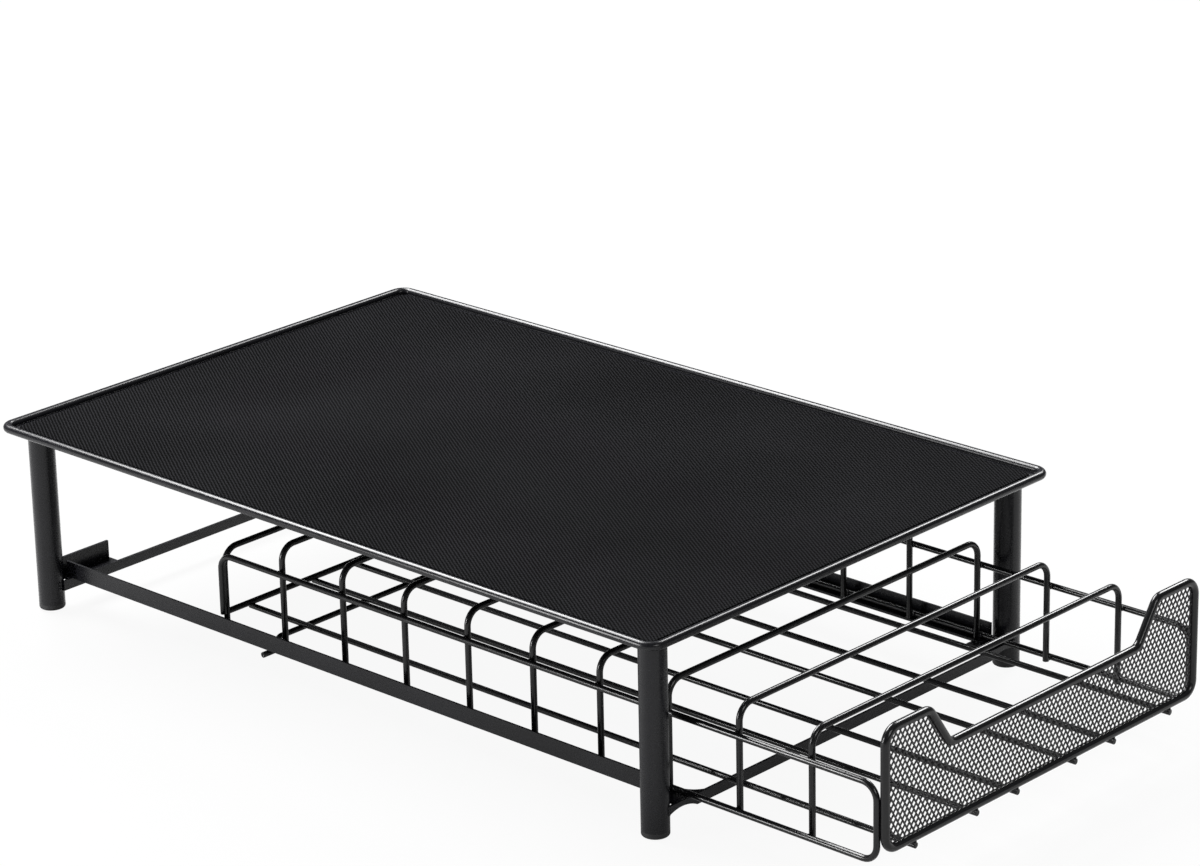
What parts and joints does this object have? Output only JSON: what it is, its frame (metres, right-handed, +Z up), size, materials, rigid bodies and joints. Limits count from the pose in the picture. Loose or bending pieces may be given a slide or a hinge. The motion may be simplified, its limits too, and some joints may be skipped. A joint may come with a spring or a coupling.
{
  "type": "coffee pod drawer",
  "caption": "Low tray-topped stand with a sliding wire drawer that holds upright coffee pods in rows between hoop dividers, under a raised-rim top with a non-slip mat.",
  "frame": {"origin": "on the floor, midway between the stand's rear edge and the drawer's front, on the symmetry plane", "axes": "+Z up, +Y from the drawer's front to the back, +X to the right seen from the front"},
  "size_m": [0.2968, 0.5714, 0.104],
  "materials": {
    "coated_steel": "satin black powder coat",
    "coated_sheet": "satin black powder coat",
    "coated_wire": "satin black powder coat on round wire",
    "coated_mesh": "satin black powder coat on expanded metal",
    "textured_mat": "matte black, fine grained texture",
    "foot_plastic": "matte black"
  },
  "bodies": {
    "stand": {"rim_rod": "coated_steel", "top_sheet": "coated_sheet", "non_slip_mat": "textured_mat", "leg_front_left": "coated_steel", "leg_front_right": "coated_steel", "leg_rear_left": "coated_steel", "leg_rear_right": "coated_steel", "foot_front_left": "foot_plastic", "foot_front_right": "foot_plastic", "foot_rear_left": "foot_plastic", "foot_rear_right": "foot_plastic", "rail_left": "coated_steel", "rail_right": "coated_steel", "front_crossbar": "coated_steel", "rear_crossbar": "coated_steel", "front_gusset_left": "coated_steel", "front_gusset_right": "coated_steel", "rear_stop_left": "coated_steel", "rear_stop_right": "coated_steel"},
    "drawer": {"front_frame": "coated_wire", "front_mesh": "coated_mesh", "side_frame_left": "coated_wire", "side_frame_right": "coated_wire", "rear_frame": "coated_wire", "divider_hoop_1": "coated_wire", "divider_hoop_2": "coated_wire", "divider_hoop_3": "coated_wire", "divider_hoop_4": "coated_wire", "divider_hoop_5": "coated_wire", "divider_hoop_6": "coated_wire", "divider_hoop_7": "coated_wire", "divider_hoop_8": "coated_wire", "divider_hoop_9": "coated_wire", "floor_wire_1": "coated_wire", "floor_wire_2": "coated_wire", "floor_wire_3": "coated_wire", "floor_wire_4": "coated_wire", "floor_wire_5": "coated_wire", "floor_wire_6": "coated_wire", "anti_tip_rod": "coated_wire"}
  },
  "joints": [
    {"name": "drawer_slide", "type": "slide", "parent": "stand", "child": "drawer", "axis": [0, -1, 0], "range_m": [-0.1173, 0.2653]}
  ]
}
